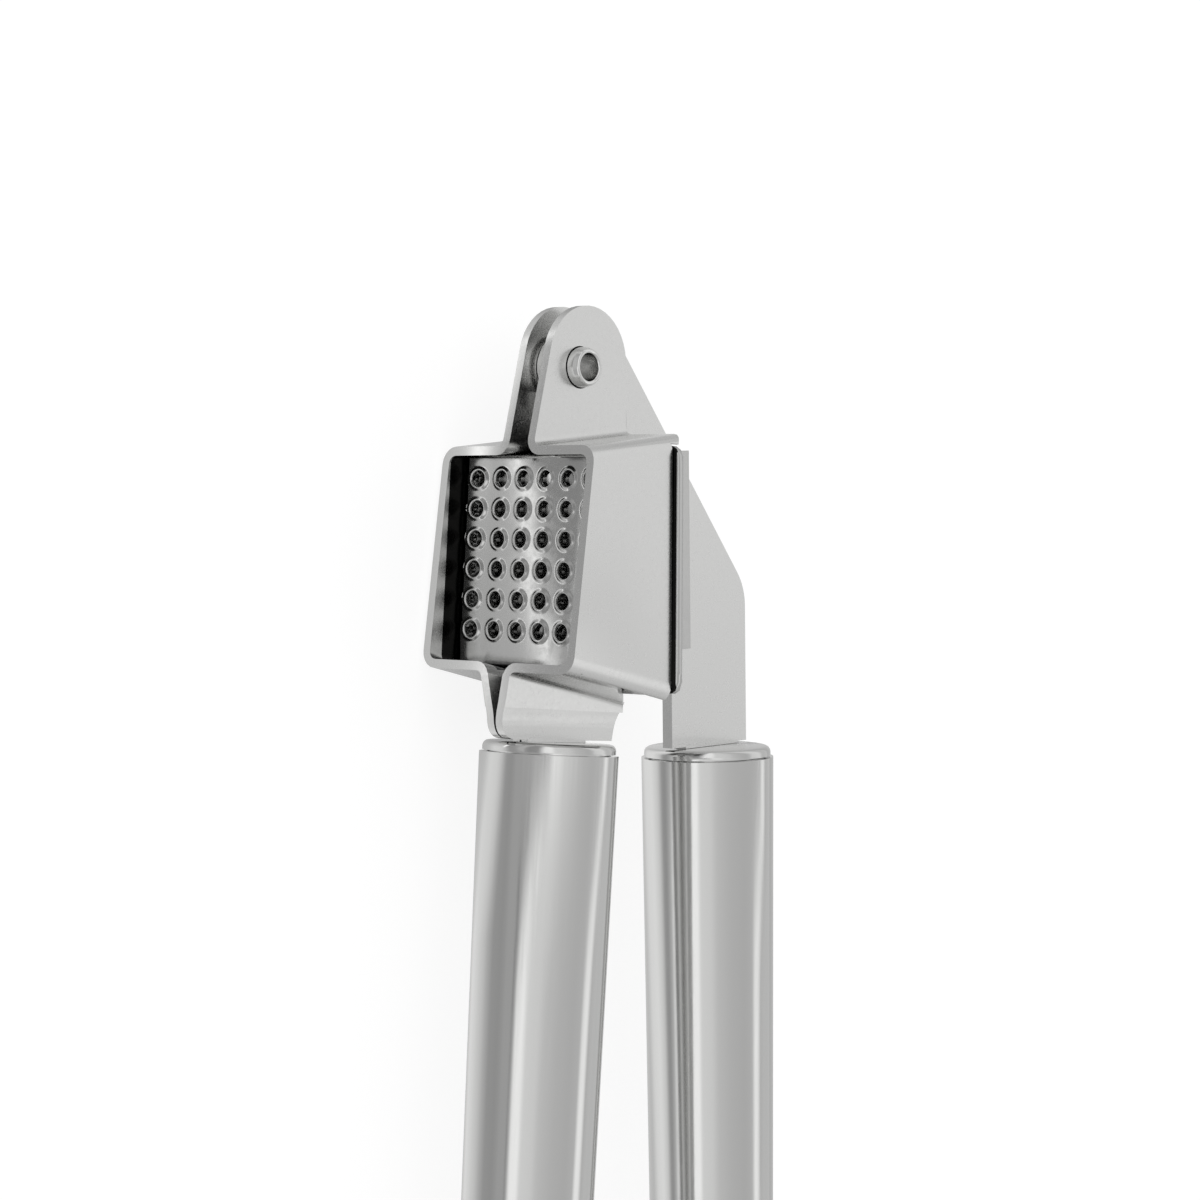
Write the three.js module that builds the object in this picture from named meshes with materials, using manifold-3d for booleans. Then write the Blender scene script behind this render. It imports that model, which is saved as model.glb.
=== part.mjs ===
// Garlic press made of stainless steel: a bent sheet frame with two ears, a lift-out sieve basket,
// and a lever that turns on a hollow rivet and carries the plunger.
// It lies on its left side. +X runs from the ears to the handle ends, +Y from the sieve to the lever,
// and +Z is the hinge direction. Millimetres. The drawing origin is the middle of the sieve's face.
import * as THREE from 'three';
import { mergeVertices } from 'three/addons/utils/BufferGeometryUtils.js';
import Module from 'manifold-3d';

const wasm = await Module();
wasm.setup();

// ---- driving dimensions ----
const SHEET = 1.2;               // frame sheet
const GAP = 0.3;                 // clearance between neighbouring pieces
const REST_OPENING = 5;          // degrees that the lever stands open

const PIVOT = new THREE.Vector2(-25, 4.7);
const EAR = new THREE.Vector2(-25.8, 6.3);      // middle of an ear's round top
const EAR_RADIUS = 7.5;
const EAR_FOOT = new THREE.Vector2(-14.7, -3.4); // lower end of an ear's straight front edge
const EAR_INNER = 1.6;           // inner face of an ear, from the middle plane
const RIVET_RADIUS = 2.65;
const RIVET_BORE = 1.85;
const RIVET_HALF = 4.6;
const HINGE_PLAY = 0.15;         // radial clearance around the rivet

const FRAME_TOP = -14.6;         // outer faces of the frame where it crosses the sieve's plane
const FRAME_BOTTOM = 16.3;
const FRAME_HALF = 13.5;
const FLARE = 0.165;             // how fast the box widens towards its back
const RIM_LEAN = 0.0645;         // lean of the frame's back edge
const RIM_Y = 12.6;              // where that edge crosses the middle of the sieve
const OVERHANG = 14.4;           // back edge of the top wall
const TRIM_TOP = -15.5;          // just past the box's walls, where its side view is cut
const TRIM_BOTTOM = 17.65;
const TANG_TOP = 19.5;           // where the tang sheets have left the bottom wall
const TANG_END = 24.1;           // the tang's lower edge, on the front handle

const CUP_TOP = -13.15;          // outer faces of the basket at its sieve
const CUP_BOTTOM = 14.85;
const CUP_HALF = 12.05;
const CUP_WALL = 1.1;
const RIM_THICK = 1.2;
const RIM_HALF = 14.35;
const RIM_TOP = -15.2;
const RIM_BOTTOM = 17.3;
const RIM_CORNER = 1.5;
const HOLE_ROWS = 6;
const HOLE_PITCH = 4;
const HOLE_RADIUS = 1.1;

const PLATE = 1.7;               // lever plate
const HEAD_RADIUS = 4.3;         // round front of the lever plate, hidden between the ears
const SPACER_RADIUS = 3.7;
const PLUNGER_HALF = 10.65;
const PLUNGER_FACE_Y = 1.6;      // front of the plunger when the press is shut
const PLUNGER_SHEET = 1.2;
const PLUNGER_BACK_Y = 17.4;

const HANDLE_RADIUS = 9.25;      // at the top of a handle
const HANDLE_END_RADIUS = 8.3;
const CAP_RADIUS = 8.85;
const HANDLE_WALL = 1;
const HANDLE_LENGTH = 112;
const CAP_EDGE = 1.3;            // visible height of a handle's top cap
const END_DOME = 3;
const FRONT_HANDLE = new THREE.Vector2(24.4, 5.3);     // middle of each handle's top, press shut
const REAR_HANDLE = new THREE.Vector2(27.3, 33.4);
const TONGUE_HALF = 5.6;         // half width of the tongue inside a handle
const TONGUE_LENGTH = 6;
const ROUND = 48;                // facets of the handles
const FINE = 32;                 // facets of the rivet

const steel = (colour, roughness) =>
  new THREE.MeshStandardMaterial({ color: colour, roughness, metalness: 1 });
const SATIN = steel(0xc8c8c6, 0.32);
const POLISHED = steel(0xd6d6d4, 0.18);
const BRUSHED = steel(0xc2c2c0, 0.36);

// ---- solids and meshes ----
function toSolid(geometry) {
  const bare = geometry.clone();
  bare.deleteAttribute('normal');
  bare.deleteAttribute('uv');
  const merged = mergeVertices(bare, 1e-4);
  return new wasm.Manifold(new wasm.Mesh({
    numProp: 3,
    vertProperties: new Float32Array(merged.attributes.position.array),
    triVerts: new Uint32Array(merged.index.array),
  }));
}

function toGeometry(solid) {
  const mesh = solid.getMesh();
  const geometry = new THREE.BufferGeometry();
  geometry.setAttribute('position', new THREE.BufferAttribute(mesh.vertProperties, 3));
  geometry.setIndex(new THREE.BufferAttribute(mesh.triVerts, 1));
  return geometry;
}

function named(name, solid, material) {
  const geometry = toGeometry(solid);
  geometry.computeVertexNormals();
  const mesh = new THREE.Mesh(geometry, material);
  mesh.name = name;
  return mesh;
}

// A shape drawn in X and Y, made solid between two heights.
function alongZ(shape, low, high, curveSegments = 10) {
  const geometry = new THREE.ExtrudeGeometry(shape,
    { depth: high - low, bevelEnabled: false, curveSegments });
  return toSolid(geometry.translate(0, 0, low));
}

// A shape drawn in X and Z, made solid from a front y to a back y. The flare then moves
// each vertex outwards along X with its distance behind the sieve.
function alongY(shape, front, back, flare = 0, curveSegments = 4) {
  const geometry = new THREE.ExtrudeGeometry(shape,
    { depth: back - front, bevelEnabled: false, curveSegments });
  geometry.rotateX(Math.PI / 2).translate(0, back, 0);
  const position = geometry.attributes.position;
  for (let i = 0; i < position.count; i += 1) {
    const x = position.getX(i);
    position.setX(i, x + flare * position.getY(i) * flareWeight(x));
  }
  return toSolid(geometry);
}

// A shape drawn in Y and Z, made solid between two places along X.
function alongX(shape, low, high) {
  const geometry = new THREE.ExtrudeGeometry(shape, { depth: high - low, bevelEnabled: false });
  geometry.applyMatrix4(new THREE.Matrix4().makeBasis(
    new THREE.Vector3(0, 1, 0), new THREE.Vector3(0, 0, 1), new THREE.Vector3(1, 0, 0)));
  return toSolid(geometry.translate(low, 0, 0));
}

// 1 on the top and bottom walls and their bends, 0 on the ears and tangs.
function flareWeight(x) {
  const wall = 11;
  if (Math.abs(x) < wall) return x / wall;
  return Math.abs(x) < TANG_TOP ? Math.sign(x) : 0;
}

// A closed profile of [radius, height] points, turned about the hinge direction.
function turned(profile, facets) {
  const points = [...profile, profile[0]].map(([r, h]) => new THREE.Vector2(r, h));
  return toSolid(new THREE.LatheGeometry(points, facets).rotateX(Math.PI / 2));
}

// The same, turned about a line along X through a handle's top.
function turnedAlongX(profile, top) {
  const points = profile.map(([r, h]) => new THREE.Vector2(r, h));
  const geometry = new THREE.LatheGeometry(points, ROUND).rotateZ(-Math.PI / 2);
  return toSolid(geometry.translate(top.x, top.y, 0));
}

function polygon(points) {
  return new THREE.Shape(points.map(([x, y]) => new THREE.Vector2(x, y)));
}

function box(lowX, highX, lowY, highY, halfZ) {
  return alongZ(polygon([[lowX, lowY], [highX, lowY], [highX, highY], [lowX, highY]]),
    -halfZ, halfZ);
}

function roundedRectangle(lowX, highX, halfZ, radius) {
  const shape = new THREE.Shape();
  shape.moveTo(lowX + radius, -halfZ);
  shape.lineTo(highX - radius, -halfZ);
  shape.absarc(highX - radius, radius - halfZ, radius, -Math.PI / 2, 0);
  shape.lineTo(highX, halfZ - radius);
  shape.absarc(highX - radius, halfZ - radius, radius, 0, Math.PI / 2);
  shape.lineTo(lowX + radius, halfZ);
  shape.absarc(lowX + radius, halfZ - radius, radius, Math.PI / 2, Math.PI);
  shape.lineTo(lowX, radius - halfZ);
  shape.absarc(lowX + radius, radius - halfZ, radius, Math.PI, 1.5 * Math.PI);
  return shape;
}

const circle = (x, y, radius) => new THREE.Shape().absarc(x, y, radius, 0, 2 * Math.PI);

const cylinder = (centre, radius, low, high) =>
  alongZ(circle(centre.x, centre.y, radius), low, high, FINE);

// ---- bent sheet ----
// Replaces each inner corner of an open line of [x, z, bend radius] by an arc.
function bentLine(corners) {
  const line = [new THREE.Vector2(corners[0][0], corners[0][1])];
  for (let i = 1; i < corners.length - 1; i += 1) {
    const [before, corner, after] = [i - 1, i, i + 1].map(
      (k) => new THREE.Vector2(corners[k][0], corners[k][1]));
    const into = corner.clone().sub(before).normalize();
    const out = after.clone().sub(corner).normalize();
    const turn = Math.acos(into.dot(out));
    const side = Math.sign(into.cross(out));
    const start = corner.clone().addScaledVector(into, -corners[i][2] * Math.tan(turn / 2));
    const centre = new THREE.Vector2(-into.y, into.x).multiplyScalar(side * corners[i][2]).add(start);
    const steps = Math.max(3, Math.round(turn / 0.32));
    for (let k = 0; k <= steps; k += 1) {
      line.push(start.clone().rotateAround(centre, side * turn * k / steps));
    }
  }
  const last = corners[corners.length - 1];
  line.push(new THREE.Vector2(last[0], last[1]));
  return line;
}

// The outline of a sheet of even thickness whose middle follows the line.
function sheetOutline(line, thickness) {
  const offset = (side) => line.map((point, i) => {
    const before = line[Math.max(i - 1, 0)];
    const after = line[Math.min(i + 1, line.length - 1)];
    const into = point.clone().sub(before);
    const out = after.clone().sub(point);
    const along = into.normalize().add(out.normalize()).normalize();
    const mitre = 1 / Math.max(0.7, along.dot(out.lengthSq() ? out : into));
    const reach = side * mitre * thickness / 2;
    return new THREE.Vector2(point.x - along.y * reach, point.y + along.x * reach);
  });
  return new THREE.Shape([...offset(1), ...offset(-1).reverse()]);
}

// ---- frame ----
const rimY = (x) => RIM_Y + RIM_LEAN * x;

// The side view that trims a half of the frame: ear, box and tang.
function frameProfile() {
  const reach = EAR_FOOT.clone().sub(EAR);
  const tangent = reach.angle() - Math.acos(EAR_RADIUS / reach.length());
  const tongueFront = FRONT_HANDLE.y - TONGUE_HALF;
  const tongueBack = FRONT_HANDLE.y + TONGUE_HALF;
  const tongueEnd = TANG_END + TONGUE_LENGTH;
  const shape = new THREE.Shape();
  shape.moveTo(EAR_FOOT.x, EAR_FOOT.y);
  shape.lineTo(16, -5.7);
  shape.lineTo(21.2, -5.4);
  shape.quadraticCurveTo(TANG_END, -5.4, TANG_END, -2.6);
  shape.lineTo(TANG_END, tongueFront);
  shape.lineTo(tongueEnd, tongueFront);
  shape.lineTo(tongueEnd, tongueBack);
  shape.lineTo(TANG_END, tongueBack);
  shape.lineTo(TANG_END, 16.1);
  shape.quadraticCurveTo(20.9, 16.5, 18.7, 17.95);
  shape.lineTo(TRIM_BOTTOM, 17.4);
  shape.lineTo(TRIM_BOTTOM, rimY(TRIM_BOTTOM));
  shape.lineTo(TRIM_TOP, rimY(TRIM_TOP));
  shape.lineTo(TRIM_TOP, OVERHANG);
  shape.lineTo(-18, OVERHANG);
  shape.lineTo(EAR.x, EAR.y + EAR_RADIUS);
  shape.absarc(EAR.x, EAR.y, EAR_RADIUS, Math.PI / 2, tangent);
  return shape;
}

// The right half; the left half is its mirror image.
function frameHalf() {
  const middle = SHEET / 2;
  const section = bentLine([
    [-38, EAR_INNER + middle],
    [FRAME_TOP + middle, EAR_INNER + middle, 1.6],
    [FRAME_TOP + middle, FRAME_HALF - middle, 1.7],
    [FRAME_BOTTOM - middle, FRAME_HALF - middle, 1.7],
    [FRAME_BOTTOM - middle, 2.3, 1.5],
    [21, 0.75, 9],
    [38, 0.75],
  ]);
  const sheet = alongY(sheetOutline(section, SHEET), -8, 20, FLARE);
  return sheet
    .intersect(alongZ(frameProfile(), -1, FRAME_HALF + 1))
    .subtract(bottomRelief())
    .subtract(topCorner())
    .subtract(cylinder(PIVOT, RIVET_RADIUS + HINGE_PLAY, 0, 6));
}

// Behind, the bottom wall is cut away between the tang and the side wall.
function bottomRelief() {
  return alongX(polygon([
    [4.2, 12.4], [7.5, 9.8], [13.5, 5.2], [17.6, 1.8], [21, 1.8], [21, 15], [13.6, 15],
    [13.6, 12.4],
  ]), 14.9, 25);
}

// The top wall's back corner is round.
function topCorner() {
  const radius = 2.5;
  const waste = polygon([[OVERHANG - radius, 14], [16, 14], [16, FRAME_HALF - radius]]);
  waste.lineTo(OVERHANG, FRAME_HALF - radius);
  waste.absarc(OVERHANG - radius, FRAME_HALF - radius, radius, 0, Math.PI / 2);
  return alongX(waste, -20, -15);
}

// ---- basket ----
function sieveBasket() {
  const back = 24;
  const side = polygon([[-30, -1], [30, -1], [30, rimY(30) + 1.35], [-30, rimY(-30) + 1.35]]);
  const cup = alongY(roundedRectangle(CUP_TOP, CUP_BOTTOM, CUP_HALF, 1.9), 0, back, FLARE)
    .intersect(alongZ(side, -20, 20));
  const rimFront = 0.15;
  const rim = alongZ(polygon([
    [-30, rimY(-30) + rimFront], [30, rimY(30) + rimFront],
    [30, rimY(30) + rimFront + RIM_THICK], [-30, rimY(-30) + rimFront + RIM_THICK],
  ]), -RIM_HALF, RIM_HALF)
    .intersect(alongY(roundedRectangle(RIM_TOP, RIM_BOTTOM, RIM_HALF, RIM_CORNER), 0, back));
  const chamber = alongY(roundedRectangle(CUP_TOP + CUP_WALL, CUP_BOTTOM - CUP_WALL,
    CUP_HALF - CUP_WALL, 0.9), CUP_WALL, back + 1, FLARE);
  return cup.add(rim).subtract(chamber).subtract(sieveHoles());
}

function sieveHoles() {
  const first = -HOLE_PITCH * (HOLE_ROWS - 1) / 2;
  const holes = [];
  for (let row = 0; row < HOLE_ROWS; row += 1) {
    for (let column = 0; column < HOLE_ROWS; column += 1) {
      const hole = circle(first + row * HOLE_PITCH, first + column * HOLE_PITCH, HOLE_RADIUS);
      holes.push(alongY(hole, -1, CUP_WALL + 1));
    }
  }
  return wasm.Manifold.union(holes);
}

// ---- hinge ----
function hollowRivet() {
  const chamfer = 0.25;
  const rivet = turned([
    [RIVET_BORE, -RIVET_HALF], [RIVET_RADIUS - chamfer, -RIVET_HALF],
    [RIVET_RADIUS, chamfer - RIVET_HALF], [RIVET_RADIUS, RIVET_HALF - chamfer],
    [RIVET_RADIUS - chamfer, RIVET_HALF], [RIVET_BORE, RIVET_HALF],
  ], FINE);
  return rivet.translate([PIVOT.x, PIVOT.y, 0]);
}

function spacer(side) {
  const clear = 0.1;
  const bore = RIVET_RADIUS + HINGE_PLAY;
  const low = PLATE / 2 + clear;
  const high = EAR_INNER - clear;
  const ring = turned([
    [bore, low], [SPACER_RADIUS, low], [SPACER_RADIUS, high], [bore, high],
  ], FINE);
  return ring.scale([1, 1, side]).translate([PIVOT.x, PIVOT.y, 0]);
}

// ---- lever ----
function leverPlate() {
  const back = 41;
  const front = 24.9;
  const end = REAR_HANDLE.x - GAP;
  const shape = new THREE.Shape();
  const chin = -0.72;              // where the round head begins and ends, in radians
  const crown = 2.6;
  const neck = -19.4;              // just above the frame's top wall
  const foot = new THREE.Vector2(HEAD_RADIUS, 0).rotateAround(new THREE.Vector2(), chin).add(PIVOT);
  shape.moveTo(foot.x, foot.y);
  shape.absarc(PIVOT.x, PIVOT.y, HEAD_RADIUS, chin, crown - 2 * Math.PI, true);
  shape.quadraticCurveTo(-31, 13, -26.4, 16.3);
  shape.lineTo(2.9, 39.1);
  shape.quadraticCurveTo(5.2, back, 8, back);
  shape.lineTo(end, back);
  shape.lineTo(end, REAR_HANDLE.y + TONGUE_HALF);
  shape.lineTo(end + TONGUE_LENGTH, REAR_HANDLE.y + TONGUE_HALF);
  shape.lineTo(end + TONGUE_LENGTH, REAR_HANDLE.y - TONGUE_HALF);
  shape.lineTo(end, REAR_HANDLE.y - TONGUE_HALF);
  shape.lineTo(end, front);
  shape.lineTo(14.5, front);
  shape.quadraticCurveTo(11.5, front, 11.2, 20);
  const web = PLUNGER_FACE_Y + PLUNGER_SHEET + GAP;
  shape.lineTo(10.8, web);
  shape.lineTo(-9.3, web);
  shape.lineTo(-10, 9.5);
  shape.lineTo(-13.4, 16);
  shape.lineTo(neck, 16);
  shape.lineTo(neck, foot.y);
  return alongZ(shape, -PLATE / 2, PLATE / 2, 12)
    .subtract(cylinder(PIVOT, RIVET_RADIUS + HINGE_PLAY, -2, 2));
}

// A channel open at its top, bottom and back. Its upper edges are arcs about the pivot.
function plungerShell() {
  const middle = PLUNGER_SHEET / 2;
  const side = PLUNGER_HALF - middle;
  const face = PLUNGER_FACE_Y + middle;
  const bend = 1.4;
  const channel = bentLine([
    [22, -side], [face, -side, bend], [face, side, bend], [22, side],
  ]);
  const bar = alongX(sheetOutline(channel, PLUNGER_SHEET), -20, 20);
  const sweep = 13.8;
  const high = 12.95;
  const from = Math.asin((PIVOT.y - PLUNGER_FACE_Y) / sweep);
  const to = Math.asin((high - PIVOT.y) / sweep);
  const profile = new THREE.Shape();
  profile.moveTo(13.2, PLUNGER_FACE_Y - 1);
  profile.lineTo(12.4, PLUNGER_BACK_Y);
  profile.lineTo(PIVOT.x + sweep * Math.cos(to), PLUNGER_BACK_Y);
  profile.absarc(PIVOT.x, PIVOT.y, sweep, to, -from, true);
  profile.lineTo(PIVOT.x + sweep * Math.cos(from), PLUNGER_FACE_Y - 1);
  return bar.intersect(alongZ(profile, -14, 14));
}

// ---- handles ----
const tubeRadius = (h) =>
  HANDLE_RADIUS + (HANDLE_END_RADIUS - HANDLE_RADIUS) * h / HANDLE_LENGTH;

function handleTube(top) {
  const seam = 0.2;
  const start = CAP_EDGE + seam;
  const end = HANDLE_LENGTH - END_DOME - seam;
  return turnedAlongX([
    [tubeRadius(start) - HANDLE_WALL, start], [tubeRadius(end) - HANDLE_WALL, end],
    [tubeRadius(end), end], [tubeRadius(start), start], [tubeRadius(start) - HANDLE_WALL, start],
  ].reverse(), top);
}

// An arc of a quarter ellipse from the flat face out to the side of a handle.
function roundedRim(radius, edge, height, steps) {
  return Array.from({ length: steps + 1 }, (_, i) => {
    const angle = (Math.PI / 2) * (i / steps);
    return [radius - edge * (1 - Math.sin(angle)), height * (1 - Math.cos(angle))];
  });
}

function handleCap(top, tongueThickness) {
  const plug = tubeRadius(CAP_EDGE) - HANDLE_WALL - GAP;
  const profile = [
    [0, 0], ...roundedRim(CAP_RADIUS, 0.8, 0.8, 4), [CAP_RADIUS, CAP_EDGE],
    [plug, CAP_EDGE], [plug, 4], [0, 4],
  ];
  const slot = box(top.x - 1, top.x + 6, top.y - TONGUE_HALF - GAP, top.y + TONGUE_HALF + GAP,
    tongueThickness / 2 + GAP);
  return turnedAlongX(profile, top).subtract(slot);
}

function handleEnd(top) {
  const start = HANDLE_LENGTH - END_DOME;
  const plug = tubeRadius(start) - HANDLE_WALL - GAP;
  const radius = tubeRadius(start);
  const dome = roundedRim(radius, radius, END_DOME, 8).map(([r, h]) => [r, HANDLE_LENGTH - h]);
  return turnedAlongX([[0, start - 3], [plug, start - 3], [plug, start], ...dome.reverse()], top);
}

function addHandle(group, side, top, tongueThickness) {
  group.add(named(`${side}_handle_tube`, handleTube(top), BRUSHED));
  group.add(named(`${side}_handle_cap`, handleCap(top, tongueThickness), POLISHED));
  group.add(named(`${side}_handle_end`, handleEnd(top), BRUSHED));
}

// ---- assembly ----
function frameGroup() {
  const group = new THREE.Group();
  const half = frameHalf();
  group.add(named('frame_right', half, SATIN));
  group.add(named('frame_left', half.scale([1, 1, -1]), SATIN));
  group.add(named('sieve_basket', sieveBasket(), POLISHED));
  group.add(named('pivot_rivet', hollowRivet(), POLISHED));
  group.add(named('spacer_right', spacer(1), POLISHED));
  group.add(named('spacer_left', spacer(-1), POLISHED));
  addHandle(group, 'front', FRONT_HANDLE, 2 * SHEET + 0.3);
  return group;
}

// Drawn with the press shut, then turned about the pivot to where it rests.
function leverGroup() {
  const drawn = new THREE.Group();
  drawn.position.set(-PIVOT.x, -PIVOT.y, 0);
  drawn.add(named('lever_plate', leverPlate(), SATIN));
  drawn.add(named('plunger_shell', plungerShell(), POLISHED));
  addHandle(drawn, 'rear', REAR_HANDLE, PLATE);
  const turn = new THREE.Group();
  turn.position.set(PIVOT.x, PIVOT.y, 0);
  turn.rotation.z = THREE.MathUtils.degToRad(REST_OPENING);
  turn.add(drawn);
  return turn;
}

const press = new THREE.Group();
press.add(frameGroup(), leverGroup());

// The part's origin is the middle of its footprint, on the surface that it lies on.
const extent = new THREE.Box3().setFromObject(press, true);
const middle = extent.getCenter(new THREE.Vector3());
press.position.set(-middle.x, -middle.y, -extent.min.z);

export default press;
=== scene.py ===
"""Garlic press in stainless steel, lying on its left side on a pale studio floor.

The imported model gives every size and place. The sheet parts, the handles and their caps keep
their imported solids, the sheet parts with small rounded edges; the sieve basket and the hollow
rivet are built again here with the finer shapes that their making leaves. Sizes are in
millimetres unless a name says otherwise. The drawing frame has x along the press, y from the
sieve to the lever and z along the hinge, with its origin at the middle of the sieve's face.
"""

import logging
import math
from dataclasses import dataclass, field
from enum import Enum
from typing import Callable, Sequence

import bmesh
import bpy
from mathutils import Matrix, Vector

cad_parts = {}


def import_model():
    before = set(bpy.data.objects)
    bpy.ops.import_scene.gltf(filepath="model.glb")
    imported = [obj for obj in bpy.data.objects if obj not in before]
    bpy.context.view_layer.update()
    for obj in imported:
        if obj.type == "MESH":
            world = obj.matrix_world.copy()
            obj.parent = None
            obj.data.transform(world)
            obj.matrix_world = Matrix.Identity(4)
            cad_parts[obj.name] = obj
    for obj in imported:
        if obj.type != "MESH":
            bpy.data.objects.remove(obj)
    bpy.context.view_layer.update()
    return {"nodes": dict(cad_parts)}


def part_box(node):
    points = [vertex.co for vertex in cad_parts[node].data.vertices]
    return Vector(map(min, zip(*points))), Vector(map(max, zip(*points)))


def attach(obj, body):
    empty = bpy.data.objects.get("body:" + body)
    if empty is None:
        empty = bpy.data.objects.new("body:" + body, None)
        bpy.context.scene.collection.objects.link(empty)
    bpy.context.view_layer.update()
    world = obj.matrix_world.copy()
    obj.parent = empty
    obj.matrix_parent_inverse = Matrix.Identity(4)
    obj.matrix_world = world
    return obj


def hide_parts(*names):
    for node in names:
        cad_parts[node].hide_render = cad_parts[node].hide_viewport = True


LOG = logging.getLogger("garlic_press")
MM = 0.001
PIVOT = (-25.0, 4.7, 0.0)        # the hinge axis in the drawing frame
WELD_M = 1e-6                    # corners closer than this are one corner
SMOOTH_ANGLE_DEG = 35            # edges that turn more than this stay sharp
EDGE_ANGLE_DEG = 40              # edges that turn more than this get a rounding
EDGE_SEGMENTS = 2

Point = tuple[float, float, float]
Colour = tuple[float, float, float, float]
Stops = list[tuple[float, float]]
Section = Sequence[tuple[float, float]]
Span = tuple[float, float]


class Body(Enum):
    """The two rigid bodies of the press."""

    FRAME = "frame"
    LEVER = "lever"


# ---------------------------------------------------------------- helpers


def linear(hex_colour: str) -> Colour:
    """Turn an sRGB hex colour into linear values.

    Args:
        hex_colour: Six hex digits after a #.

    Returns:
        Red, green, blue and an alpha of 1.
    """
    parts = [int(hex_colour[i:i + 2], 16) / 255 for i in (1, 3, 5)]
    red, green, blue = (v / 12.92 if v <= 0.04045 else ((v + 0.055) / 1.055) ** 2.4 for v in parts)
    return red, green, blue, 1.0


def add_node(
    tree: bpy.types.NodeTree,
    kind: str,
    settings: dict[str, object] | None = None,
    inputs: dict[str | int, object] | None = None,
) -> bpy.types.Node:
    """Add a node, set it and link it.

    Args:
        tree: The node tree that takes the node.
        kind: The node's type name.
        settings: Attribute names and their values.
        inputs: Input sockets by name or number, each with a value or the socket to link from.

    Returns:
        The new node.
    """
    node = tree.nodes.new(kind)
    for name, value in (settings or {}).items():
        setattr(node, name, value)
    for key, value in (inputs or {}).items():
        if isinstance(value, bpy.types.NodeSocket):
            tree.links.new(value, node.inputs[key])
        else:
            node.inputs[key].default_value = value
    return node


def set_stops(node: bpy.types.Node, stops: Stops) -> None:
    """Give a colour ramp grey stops.

    Args:
        node: A Color Ramp node.
        stops: Pairs of place and grey value, in rising order.
    """
    elements = node.color_ramp.elements
    while len(elements) < len(stops):
        elements.new(1.0)
    for element, (place, grey) in zip(elements, stops):
        element.position = place
        element.color = (grey, grey, grey, 1.0)


def offset_to_row() -> Vector:
    """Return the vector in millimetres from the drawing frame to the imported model's frame."""
    low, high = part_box("pivot_rivet")
    return (low + high) / 2 / MM - Vector(PIVOT)


def mesh_object(
    name: str,
    vertices: Sequence[Point],
    faces: Sequence[Sequence[int]],
    material: bpy.types.Material,
    body: Body,
) -> bpy.types.Object:
    """Make a smooth closed mesh that rides on a body.

    Args:
        name: The piece's name.
        vertices: Corners in the drawing frame, in millimetres.
        faces: Corner numbers of each face.
        material: The finish.
        body: The body that the piece moves with.

    Returns:
        The new object.
    """
    shift = offset_to_row()
    mesh = bpy.data.meshes.new(name)
    mesh.from_pydata([(Vector(v) + shift) * MM for v in vertices], [], list(faces))
    work = bmesh.new()
    work.from_mesh(mesh)
    bmesh.ops.remove_doubles(work, verts=work.verts, dist=WELD_M)
    bmesh.ops.recalc_face_normals(work, faces=work.faces)
    work.to_mesh(mesh)
    work.free()
    mesh.shade_smooth()
    mesh.materials.append(material)
    piece = bpy.data.objects.new(name, mesh)
    bpy.context.scene.collection.objects.link(piece)
    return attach(piece, body.value)


def smooth_by_angle(limit_deg: float) -> bpy.types.NodeTree:
    """Make the modifier tree that shades a mesh smooth up to an edge angle.

    Args:
        limit_deg: Edges that turn more than this stay sharp.

    Returns:
        The node group.
    """
    tree = bpy.data.node_groups.new("smooth_by_angle", "GeometryNodeTree")
    for direction in ("INPUT", "OUTPUT"):
        tree.interface.new_socket("Geometry", in_out=direction, socket_type="NodeSocketGeometry")
    source = add_node(tree, "NodeGroupInput")
    edge = add_node(tree, "GeometryNodeInputMeshEdgeAngle")
    flat = add_node(tree, "FunctionNodeCompare", {"operation": "LESS_THAN"},
                    {0: edge.outputs["Unsigned Angle"], 1: math.radians(limit_deg)})
    faces = add_node(tree, "GeometryNodeSetShadeSmooth", {"domain": "FACE"},
                     {"Geometry": source.outputs[0], "Shade Smooth": True})
    edges = add_node(tree, "GeometryNodeSetShadeSmooth", {"domain": "EDGE"},
                     {"Geometry": faces.outputs[0], "Shade Smooth": flat.outputs[0]})
    add_node(tree, "NodeGroupOutput", inputs={0: edges.outputs[0]})
    return tree


def dress(
    node: bpy.types.Object,
    material: bpy.types.Material,
    shading: bpy.types.NodeTree,
    edge_mm: float,
) -> None:
    """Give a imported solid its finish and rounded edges.

    Args:
        node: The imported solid.
        material: The finish.
        shading: The tree from smooth_by_angle.
        edge_mm: Width of the rounding on sharp edges, or 0 for none.
    """
    node.data.materials.clear()
    node.data.materials.append(material)
    weld = node.modifiers.new("weld", "WELD")
    weld.merge_threshold = WELD_M
    smooth = node.modifiers.new("smooth", "NODES")
    smooth.node_group = shading
    if edge_mm:
        bevel = node.modifiers.new("edge", "BEVEL")
        bevel.width = edge_mm * MM
        bevel.segments = EDGE_SEGMENTS
        bevel.limit_method = "ANGLE"
        bevel.angle_limit = math.radians(EDGE_ANGLE_DEG)
        bevel.harden_normals = True


# ---------------------------------------------------------------- finishes


PAINTED_SHADE_COLOUR = "#1C1C1B"         # painted shade, nearly black

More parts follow.
